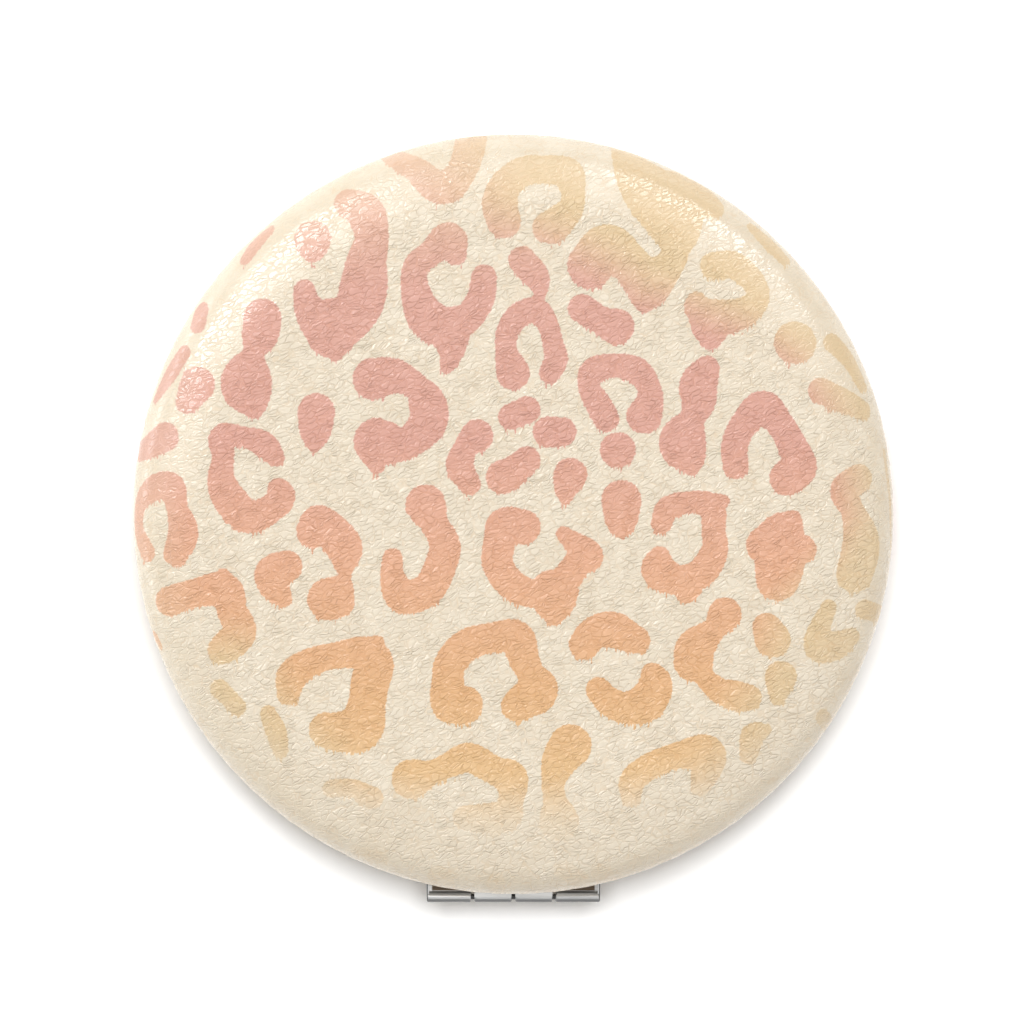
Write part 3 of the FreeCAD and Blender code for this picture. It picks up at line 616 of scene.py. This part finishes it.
# Where the print fades and turns to gold, and where the skin is drawn flat: by pixels from the middle, and
# by degrees from the photo's right towards its top.
LOWER_RANGE_PX = (120.0, 200.0)
FADE_STARTS_PX, FADE_ENDS_PX = 258.0, 325.0
FADE_NARROWING = 0.65
FADED_SHARE = 0.2
RIM_FADE_STARTS_PX, RIM_FADE_ENDS_PX = 315.0, 362.0
RIM_FADED_SHARE = 0.8
GOLD_TURNS = (-45.0, -20.0, 0.0, 25.0, 45.0, 60.0, 72.0, 90.0)
GOLD_EDGES_PX = (292.0, 280.0, 338.0, 328.0, 282.0, 258.0, 270.0, 292.0)
GOLD_SOFTNESS_PX = 36.0
GOLD_WINDOWS = ((-62.0, -38.0, 84.0, 110.0), (-162.0, -152.0, -130.0, -118.0))
STRETCH_STARTS_PX, STRETCH_ENDS_PX = 302.0, 340.0
DRAWN_TURNS = (58.0, 140.0)
DRAWN_SPREAD = (28.0, 50.0)
RIM_DRAWN_STARTS_PX, RIM_DRAWN_ENDS_PX = 350.0, 372.0
RIM_DRAWN_SHARE = 0.55

# The leather's own colours, and the print's colours by height down the photo.
CREAM_COLOUR = (0.795, 0.68, 0.52)
CREAM_PALE = (0.835, 0.73, 0.575)
# The crease tint is painted shade, multiplied into the grain's grooves by its share.
CREASE_PAINTED_SHADE = (0.80, 0.64, 0.45)
CREASE_SHADE_SHARE = 0.42
GOLD_COLOUR = (0.75, 0.555, 0.318)
OMBRE_PX = {
    150: (0.77, 0.50, 0.345),
    290: (0.70, 0.36, 0.28),
    440: (0.70, 0.35, 0.268),
    560: (0.77, 0.40, 0.24),
    690: (0.775, 0.438, 0.202),
    770: (0.79, 0.505, 0.24),
    840: (0.81, 0.60, 0.36),
}

# The grain, in millimetres. A net has the length, height and turn of its cells, and its share of the depth.
GRAIN_NETS = ((0.88, 0.39, math.radians(26.0), 0.92), (0.45, 0.24, math.radians(20.0), 0.08))
GRAIN_ROUND = 0.18
GRAIN_LINE = 0.08
GRAIN_TILT = 0.4
GRAIN_BENDS = 0.9
GRAIN_WANDER = 0.8
GRAIN_PATCHES = 0.8
GRAIN_PATCH_RANGE = (0.35, 0.65)
GRAIN_SHALLOWEST = 0.55
GRAIN_PORES, GRAIN_PORE_SHARE = 4.0, 0.08
FLANK_RANGE = (0.3, 0.8)
GRAIN_DEPTH = 0.060 * MM
SHOULDER_GRAIN = 0.28
BRISTLE_WIDTH, BRISTLE_LENGTH = 0.20, 1.0
BRISTLE_REACH = 0.65
BRISTLE_RANGE = (0.40, 0.75)
CLUMP_SCALE = 0.9
CLUMP_RANGE = (0.35, 0.65)
FRAY_POWER = 2.0
WANDER_SCALE = 3.2
WANDER_RANGE = (0.2, 0.8)
EDGE_WANDER = 0.07
EDGE_SOFTNESS = 0.07
FACE_ROUGHNESS, SHOULDER_ROUGHNESS, FLANK_ROUGHNESS = 0.30, 0.22, 0.44
LEATHER_SHINE = 0.75
MOTTLE_SCALE = 0.35
MOTTLE_RANGE = (0.3, 0.7)


def cover_path():
    """The skin's outline from the middle of its face to the middle of its back: the face, the tuck's quarter
    circle, the hem, its cut end, and the same way back one thickness inside. Returns it with the number of
    points on the outside."""
    hem_height = belt_height + skin_thickness
    outside = skin_path(0.0, FACE_RINGS) + [
        arc((tuck_edge, belt_height), skin_thickness, QUARTER_TURN, 2.0 * QUARTER_TURN, TUCK_RINGS),
        straight((tuck_edge, hem_height), (hem_end, hem_height), HEM_RINGS),
    ]
    inside = [
        straight((hem_end, hem_height), (hem_end, belt_height), END_RINGS),
        straight((hem_end, belt_height), (tuck_edge, belt_height), END_RINGS),
    ]
    back = np.concatenate(skin_path(skin_thickness, BACK_RINGS))[::-1]
    return np.concatenate(outside + inside + [back]), sum(map(len, outside))


def smooth_line(points):
    """A line through the given points, each stretch a cubic whose ends run along the chords of their
    neighbours."""
    points = np.asarray(points, float)
    ends = np.concatenate([2 * points[:1] - points[1:2], points, 2 * points[-1:] - points[-2:-1]])
    a, b, c, d = ends[:-3, None], ends[1:-2, None], ends[2:-1, None], ends[3:, None]
    t = (np.arange(STROKE_STEPS) / STROKE_STEPS)[:, None]
    curve = 2 * b + (c - a) * t + (2 * a - 5 * b + 4 * c - d) * t ** 2 + (3 * b - a - 3 * c + d) * t ** 3
    return np.concatenate([(curve / 2.0).reshape(-1, points.shape[1]), points[-1:]])


def unrolled(places, radii, lengths):
    """Places seen from the front, laid out flat: each keeps its direction, and its radius becomes the length
    along the skin. Past the widest point a length grows as the radius does."""
    radius = np.linalg.norm(places, axis=1)
    length = np.interp(radius, radii, lengths) + np.maximum(radius - radii[-1], 0.0)
    return places * (length / np.maximum(radius, MM))[:, None]


def print_fields(skin, radii, lengths):
    """For points on the flat skin: the distance to the nearest stroke's edge, less than 0 inside it, and how
    far that edge faces down the photo. The distance to a stroke is the least over its stretches of the
    distance to the stretch less the half width there."""
    distance = np.full(len(skin), FAR_FROM_SPOTS)
    downward = np.zeros(len(skin))
    for stroke in [stroke for strokes in SPOTS_PX.values() for stroke in strokes]:
        line = smooth_line(stroke)
        places = unrolled((line[:, :2] - PHOTO_CENTRE_PX) * PX, radii, lengths)
        half_widths = line[:, 2] * PX
        reach = half_widths.max() + FAR_FROM_SPOTS
        near = ((skin > places.min(axis=0) - reach) & (skin < places.max(axis=0) + reach)).all(axis=1)
        from_start = skin[near, None] - places[None, :-1]
        stretch = np.diff(places, axis=0)
        share = (from_start * stretch).sum(axis=2) / np.maximum((stretch ** 2).sum(axis=1), LEAST_SQUARE)
        share = np.clip(share, 0.0, 1.0)
        away = from_start - share[:, :, None] * stretch
        apart = np.linalg.norm(away, axis=2)
        gap = apart - half_widths[:-1] - share * np.diff(half_widths)
        best = gap.argmin(axis=1)[:, None]
        gap = np.take_along_axis(gap, best, axis=1)[:, 0]
        apart = np.take_along_axis(apart, best, axis=1)[:, 0]
        down = np.take_along_axis(away[:, :, 1], best, axis=1)[:, 0]
        closer = gap < distance[near]
        chosen = np.flatnonzero(near)[closer]
        distance[chosen] = gap[closer]
        downward[chosen] = (down / np.maximum(apart, LEAST_GAP))[closer]
    return distance, downward


def smooth_step(value, low, high):
    """0 below low, 1 above high, and a smooth S between them."""
    share = np.clip((value - low) / (high - low), 0.0, 1.0)
    return share * share * (3.0 - 2.0 * share)


def swell(skin):
    """A slow unevenness from 0 to 1: the mean of waves of many directions and lengths, from a fixed seed."""
    random = np.random.default_rng(SWELL_SEED)
    heading = random.uniform(0.0, 2.0 * math.pi, SWELL_WAVES)
    wave = 2.0 * math.pi / random.uniform(*SWELL_LENGTHS, SWELL_WAVES)
    start = random.uniform(0.0, 2.0 * math.pi, SWELL_WAVES)
    phase = skin @ (np.stack([np.cos(heading), np.sin(heading)]) * wave) + start
    return 0.5 + 0.5 * np.cos(phase).mean(axis=-1)


def cover_mesh(name):
    """The cover as a turned shell. The outside sinks by the swell, and the pleats sink the tuck and the hem
    by a wave round the turn. Its points carry the print's fields, how flat the skin is drawn, and their
    place on the flat skin in millimetres."""
    path, outer_count = cover_path()
    steps = np.linalg.norm(np.diff(path, axis=0), axis=1)
    lengths = np.concatenate([[0.0], np.cumsum(steps)])
    angle = 2.0 * math.pi * np.arange(COVER_SPOKES) / COVER_SPOKES
    spoke = np.stack([np.cos(angle), np.sin(angle)], axis=1)
    skin = lengths[1:-1, None, None] * spoke
    forward = np.gradient(path, axis=0)[1:-1]
    inward = np.stack([-forward[:, 1], forward[:, 0]], axis=1)
    inward = inward / np.linalg.norm(inward, axis=1, keepdims=True)
    widest = sum(FACE_RINGS)
    outside = (np.arange(1, len(path) - 1) < outer_count)[:, None]
    tuck_start, tuck_end = lengths[widest] * PLEAT_STARTS, lengths[outer_count - HEM_RINGS]
    tucked = smooth_step(lengths[1:-1], tuck_start, tuck_end)[:, None]
    phase = PLEATS * angle
    for share, waves in PLEAT_WANDER:
        phase = phase + share * np.cos(waves * angle)
    pleat = 0.5 + 0.5 * np.cos(phase)
    depth = outside * (SWELL_DEPTH * swell(skin) * (1.0 - tucked) + PLEAT_DEPTH * pleat * tucked)
    sideways = inward[:, None, :1] * spoke
    upward = inward[:, None, 1:] + 0.0 * sideways[:, :, :1]
    lift = depth[:, :, None] * np.concatenate([sideways, upward], axis=2)
    mesh = turned_shell(name, path, COVER_SPOKES, lift)
    flat_skin = np.concatenate([[[0.0, 0.0]], skin.reshape(-1, 2), [[0.0, 0.0]]])
    shown = np.concatenate([[True], np.repeat(outside[:, 0], COVER_SPOKES), [False]])
    radii = path[:widest + 1, 0]
    distance = np.full(len(flat_skin), FAR_FROM_SPOTS)
    downward = np.zeros(len(flat_skin))
    distance[shown], downward[shown] = print_fields(flat_skin[shown], radii, lengths[:widest + 1])
    length = np.linalg.norm(flat_skin, axis=1)
    reach_px = np.interp(length, lengths[:widest + 1], radii) / PX
    down = flat_skin[:, 1] / PX
    fade_px = np.hypot(np.maximum(down, 0.0), FADE_NARROWING * flat_skin[:, 0] / PX)
    lower = smooth_step(down, *LOWER_RANGE_PX)
    strength = 1.0 - (1.0 - FADED_SHARE) * lower * smooth_step(fade_px, FADE_STARTS_PX, FADE_ENDS_PX)
    rim_fade = (1.0 - RIM_FADED_SHARE) * smooth_step(reach_px, RIM_FADE_STARTS_PX, RIM_FADE_ENDS_PX)
    strength = strength * (1.0 - rim_fade)
    stretch = smooth_step(reach_px, STRETCH_STARTS_PX, STRETCH_ENDS_PX)
    turn = np.degrees(np.arctan2(-flat_skin[:, 1], flat_skin[:, 0]))
    off_turn = np.abs(turn[:, None] - DRAWN_TURNS).min(axis=1)
    drawn_flat = stretch * (1.0 - smooth_step(off_turn, *DRAWN_SPREAD))
    rim_flat = RIM_DRAWN_SHARE * smooth_step(reach_px, RIM_DRAWN_STARTS_PX, RIM_DRAWN_ENDS_PX)
    edge_px = np.interp(turn, GOLD_TURNS, GOLD_EDGES_PX)
    gold = sum(smooth_step(turn, *ends[:2]) * (1.0 - smooth_step(turn, *ends[2:])) for ends in GOLD_WINDOWS)
    gold = gold * smooth_step(reach_px, edge_px - GOLD_SOFTNESS_PX, edge_px + GOLD_SOFTNESS_PX)
    fields = {
        "spot_distance": distance / MM,
        "frayed_edge": np.maximum(downward, 0.0),
        "print_strength": strength,
        "gold_share": gold,
        "drawn_flat": np.maximum(drawn_flat, rim_flat),
    }
    for field, values in fields.items():
        mesh.attributes.new(field, "FLOAT", "POINT").data.foreach_set("value", values.astype(np.float32))
    place = np.concatenate([flat_skin / MM, np.zeros((len(flat_skin), 1))], axis=1).astype(np.float32)
    mesh.attributes.new("skin", "FLOAT_VECTOR", "POINT").data.foreach_set("vector", place.ravel())
    return mesh


def hide_grain():
    """Leather grain, from a place in millimetres: two nets of grooves, a wide one and a fine one, each the
    edges of cells that are drawn out sideways, turned and bent by a slow noise. Each pebble between them
    stands highest at its upper edge, by its height over the cell's centre, and a third noise lets some
    grooves run out. The crease is the line of a groove, and the flank is the slope down to it."""
    outputs = {"Height": "Float", "Crease": "Float", "Flank": "Float"}
    group, entry, result = new_group("hide_grain", {"Skin": "Vector"}, outputs)
    slow = add(group, "TexNoise", {"Vector": entry["Skin"], "Scale": GRAIN_BENDS, "Detail": 2.0})
    centred = add(group, "VectorMath", {0: slow.outputs["Color"], 1: (0.5, 0.5, 0.5)}, operation="SUBTRACT")
    bend = add(group, "VectorMath", {0: centred.outputs[0], "Scale": GRAIN_WANDER}, operation="SCALE")
    bent = add(group, "VectorMath", {0: entry["Skin"], 1: bend.outputs[0]}, operation="ADD").outputs[0]
    patches = {"Vector": entry["Skin"], "Scale": GRAIN_PATCHES, "Detail": 1.0}
    depth = add(group, "TexNoise", patches).outputs[0]
    depth = ramped(group, depth, *GRAIN_PATCH_RANGE, GRAIN_SHALLOWEST, 1.0)
    heights = []
    creases = []
    flanks = []
    for length, height, turn, share in GRAIN_NETS:
        place = stretched(group, bent, (1.0 / length, 1.0 / height, 1.0), turn)
        cells = add(group, "TexVoronoi", {"Vector": place, "Scale": 1.0}, feature="DISTANCE_TO_EDGE")
        flat = ramped(group, cells.outputs["Distance"], 0.0, GRAIN_ROUND)
        centre = add(group, "TexVoronoi", {"Vector": place, "Scale": 1.0}).outputs["Position"]
        above = add(group, "VectorMath", {0: centre, 1: place}, operation="SUBTRACT").outputs[0]
        rise = add(group, "SeparateXYZ", {0: above}).outputs[1]
        tilt = maths(group, "MULTIPLY_ADD", rise, GRAIN_TILT, 1.0)
        heights.append(maths(group, "MULTIPLY", maths(group, "MULTIPLY", flat, tilt), share))
        groove = ramped(group, cells.outputs["Distance"], 0.0, GRAIN_LINE, 1.0, 0.0)
        creases.append(maths(group, "MULTIPLY", groove, share))
        flanks.append(maths(group, "MULTIPLY_ADD", flat, -share, share))
    pores = add(group, "TexNoise", {"Vector": bent, "Scale": GRAIN_PORES, "Detail": 1.0}).outputs[0]
    net = maths(group, "MULTIPLY", maths(group, "ADD", *heights), depth)
    group.links.new(maths(group, "MULTIPLY_ADD", pores, GRAIN_PORE_SHARE, net), result["Height"])
    group.links.new(maths(group, "MULTIPLY", maths(group, "ADD", *creases), depth), result["Crease"])
    group.links.new(maths(group, "ADD", *flanks), result["Flank"])
    return group


HIDE_GRAIN = hide_grain()


def attribute(tree, name, output="Fac"):
    """The socket with one of the mesh's own fields."""
    return add(tree, "Attribute", attribute_name=name).outputs[output]


def printed_leather():
    """Coated leather: cream with painted shade in its creases, under spots whose lower edges are brushed out
    in bristles.
    The print's colour follows the height down the photo, and turns gold near the rim at the right and at the
    lower left. Where the skin is drawn flat, its grain is shallower and its pebbles shine more."""
    material, tree, shader = new_material("printed_leather")
    skin = attribute(tree, "skin", "Vector")
    grain = add(tree, "Group", {"Skin": skin}, node_tree=HIDE_GRAIN)
    bristle_place = stretched(tree, skin, (1.0 / BRISTLE_WIDTH, 1.0 / BRISTLE_LENGTH, 1.0))
    bristle = add(tree, "TexNoise", {"Vector": bristle_place, "Scale": 1.0, "Detail": 1.0}).outputs[0]
    clump = add(tree, "TexNoise", {"Vector": skin, "Scale": CLUMP_SCALE, "Detail": 1.0}).outputs[0]
    bristle = ramped(tree, bristle, *BRISTLE_RANGE)
    clump = ramped(tree, clump, *CLUMP_RANGE)
    bristle = maths(tree, "MULTIPLY", maths(tree, "MULTIPLY", bristle, clump), BRISTLE_REACH)
    wander = add(tree, "TexNoise", {"Vector": skin, "Scale": WANDER_SCALE, "Detail": 2.0}).outputs[0]
    wander = ramped(tree, wander, *WANDER_RANGE, -EDGE_WANDER, EDGE_WANDER)
    frayed = maths(tree, "POWER", attribute(tree, "frayed_edge"), FRAY_POWER)
    edge = maths(tree, "ADD", attribute(tree, "spot_distance"), wander)
    edge = maths(tree, "SUBTRACT", edge, maths(tree, "MULTIPLY", bristle, frayed))
    spot = ramped(tree, edge, -EDGE_SOFTNESS, EDGE_SOFTNESS, 1.0, 0.0)
    spot = maths(tree, "MULTIPLY", spot, attribute(tree, "print_strength"))
    height = add(tree, "SeparateXYZ", {0: skin}).outputs[1]
    low, high = -COVER_RADIUS_PX * PX / MM, COVER_RADIUS_PX * PX / MM
    inputs = {"Value": height, "From Min": low, "From Max": high}
    share = add(tree, "MapRange", inputs).outputs["Result"]
    ombre = add(tree, "ValToRGB", {"Fac": share})
    stops = ombre.color_ramp.elements
    places = {(down - PHOTO_CENTRE_PX[1] + COVER_RADIUS_PX) / (2.0 * COVER_RADIUS_PX): colour
              for down, colour in OMBRE_PX.items()}
    for number, (position, colour) in enumerate(places.items()):
        stop = stops[number] if number < 2 else stops.new(position)
        stop.position = position
        stop.color = opaque(colour)
    dye = blended(tree, attribute(tree, "gold_share"), ombre.outputs["Color"], opaque(GOLD_COLOUR))
    mottle = add(tree, "TexNoise", {"Vector": skin, "Scale": MOTTLE_SCALE, "Detail": 4.0}).outputs[0]
    mottle = ramped(tree, mottle, *MOTTLE_RANGE)
    cream = blended(tree, mottle, opaque(CREAM_COLOUR), opaque(CREAM_PALE))
    shade = blended(tree, spot, cream, dye)
    # Painted shade: the grooves of the grain are multiplied darker by the crease tint.
    groove = maths(tree, "MULTIPLY", grain.outputs["Crease"], CREASE_SHADE_SHARE)
    inputs = {0: groove, 6: shade, 7: opaque(CREASE_PAINTED_SHADE)}
    shade = add(tree, "Mix", inputs, data_type="RGBA", blend_type="MULTIPLY").outputs[2]
    tree.links.new(shade, shader.inputs["Base Color"])
    drawn_flat = attribute(tree, "drawn_flat")
    tops = ramped(tree, drawn_flat, 0.0, 1.0, FACE_ROUGHNESS, SHOULDER_ROUGHNESS)
    rough = ramped(tree, grain.outputs["Flank"], *FLANK_RANGE, tops, FLANK_ROUGHNESS)
    tree.links.new(rough, shader.inputs["Roughness"])
    shader.inputs["Specular IOR Level"].default_value = LEATHER_SHINE
    flatness = ramped(tree, drawn_flat, 0.0, 1.0, 1.0, SHOULDER_GRAIN)
    drawn = maths(tree, "MULTIPLY", grain.outputs["Height"], flatness)
    bumped(tree, shader, drawn, GRAIN_DEPTH)
    return material


printed = printed_leather()
for half in HALVES:
    cover = seated(cover_mesh(half + "_cover"), half)
    cover.data.materials.append(printed)
    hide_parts(half + "_leather_cover")

# Table and studio
# A white sheet under the object, soft boxes round it and a long lens straight above the lid. Two small boxes
# show as broken highlights on the cover's shoulder, and the sheet has a box of its own, so it stays white.
# The surroundings are brighter in reflections than as light, which keeps the mirrors from turning black.
FLOOR_HALF = 1.6
FLOOR_COLOUR = (0.95, 0.95, 0.95)
FLOOR_SHADE = (0.93, 0.93, 0.93)
FLOOR_MOTTLE = 6.0
FLOOR_ROUGHNESS = 0.9
WORLD_COLOUR = (1.0, 1.0, 1.0)
WORLD_STRENGTH = 0.04
WORLD_REFLECTED = 0.42
WHITE_LIGHT = (1.0, 1.0, 1.0)
COOL_LIGHT = (0.90, 0.96, 1.0)
SOFT_BOXES = {
    "upper_left_box": {"turn": 140.0, "lean": 30.0, "away": 0.6, "size": (0.24, 0.16), "radiance": 12.0},
    "upper_right_box": {"turn": 58.0, "lean": 33.0, "away": 0.6, "size": (0.20, 0.15), "radiance": 9.0},
    "low_left_box": {"turn": 172.0, "lean": 80.0, "away": 0.8, "size": (0.8, 0.3), "radiance": 3.8,
                     "colour": COOL_LIGHT},
    "low_far_box": {"turn": 80.0, "lean": 80.0, "away": 0.8, "size": (1.0, 0.3), "radiance": 1.5,
                    "colour": COOL_LIGHT},
    "near_box": {"turn": 315.0, "lean": 40.0, "away": 0.8, "size": (0.9, 0.6), "radiance": 1.35},
    "high_box": {"turn": 90.0, "lean": 8.0, "away": 1.0, "size": (0.6, 0.6), "radiance": 1.6},
}
TABLE_BOX = {"turn": 90.0, "lean": 8.0, "away": 1.5, "size": (0.7, 0.7), "radiance": 22.0}
CAMERA_HEIGHT = 1.2
PHOTO_WIDTH_PX = 1024.0
SENSOR_WIDTH = 36.0


def floor():
    """A flat sheet with a faint mottle."""
    mesh = bpy.data.meshes.new("table")
    corners = [(x * FLOOR_HALF, y * FLOOR_HALF, 0.0) for x, y in ((-1, -1), (1, -1), (1, 1), (-1, 1))]
    mesh.from_pydata(corners, [], [(0, 1, 2, 3)])
    sheet = bpy.data.objects.new("table", mesh)
    bpy.context.scene.collection.objects.link(sheet)
    material, tree, shader = new_material("white_sheet")
    mottle = add(tree, "TexNoise", {"Vector": placed(tree), "Scale": FLOOR_MOTTLE, "Detail": 2.0}).outputs[0]
    shade = blended(tree, mottle, opaque(FLOOR_COLOUR), opaque(FLOOR_SHADE))
    tree.links.new(shade, shader.inputs["Base Color"])
    shader.inputs["Roughness"].default_value = FLOOR_ROUGHNESS
    shader.inputs["Specular IOR Level"].default_value = 0.0
    mesh.materials.append(material)
    return sheet


def soft_box(name, sheet, reach, turn, lean, away, size, radiance, colour=WHITE_LIGHT):
    """An area light that faces the object. turn is its direction in the photo, counted from the right
    towards the top, and lean its angle from straight above. Its power is its radiance times pi times its
    area. It either leaves the sheet out or lights nothing else."""
    light = bpy.data.lights.new(name, "AREA")
    light.shape = "RECTANGLE"
    light.size, light.size_y = size
    light.energy = radiance * math.pi * size[0] * size[1]
    light.color = colour
    lamp = bpy.data.objects.new(name, light)
    turn, lean = math.radians(turn), math.radians(lean)
    lamp.location = away * np.array((
        -math.cos(turn) * math.sin(lean), -math.sin(turn) * math.sin(lean), math.cos(lean)))
    lamp.rotation_euler = lamp.location.to_track_quat("Z", "Y").to_euler()
    lamp.visible_camera = False
    bpy.context.scene.collection.objects.link(lamp)
    lit = bpy.data.collections.new(name + "_reach")
    lit.objects.link(sheet)
    lamp.light_linking.receiver_collection = lit
    lit.collection_objects[0].light_linking.link_state = reach


def camera():
    """A long lens straight above the lid, with the top of the photo towards -Y. The picture's width over the
    lens's distance to the widest part of the lid is the sensor's width over the focal length."""
    lens = bpy.data.cameras.new("camera")
    lens.sensor_width = SENSOR_WIDTH
    lid_belt = total_height - belt_height
    lens.lens = SENSOR_WIDTH * (CAMERA_HEIGHT - lid_belt) / (PHOTO_WIDTH_PX * PX)
    middle = (PHOTO_WIDTH_PX / 2.0 - PHOTO_CENTRE_PX) * PX
    eye = bpy.data.objects.new("camera", lens)
    eye.location = (-middle[0], middle[1], CAMERA_HEIGHT)
    eye.rotation_euler = (0.0, 0.0, math.pi)
    bpy.context.scene.collection.objects.link(eye)
    bpy.context.scene.camera = eye


table = floor()
for name, values in SOFT_BOXES.items():
    soft_box(name, table, "EXCLUDE", **values)
soft_box("table_box", table, "INCLUDE", **TABLE_BOX)
camera()
world = bpy.data.worlds.new("studio")
world.use_nodes = True
background = world.node_tree.nodes["Background"]
background.inputs["Color"].default_value = opaque(WORLD_COLOUR)
shining = add(world.node_tree, "LightPath").outputs["Is Glossy Ray"]
seen = ramped(world.node_tree, shining, 0.0, 1.0, WORLD_STRENGTH, WORLD_REFLECTED)
world.node_tree.links.new(seen, background.inputs["Strength"])
bpy.context.scene.world = world
bpy.context.scene.view_settings.view_transform = "Standard"
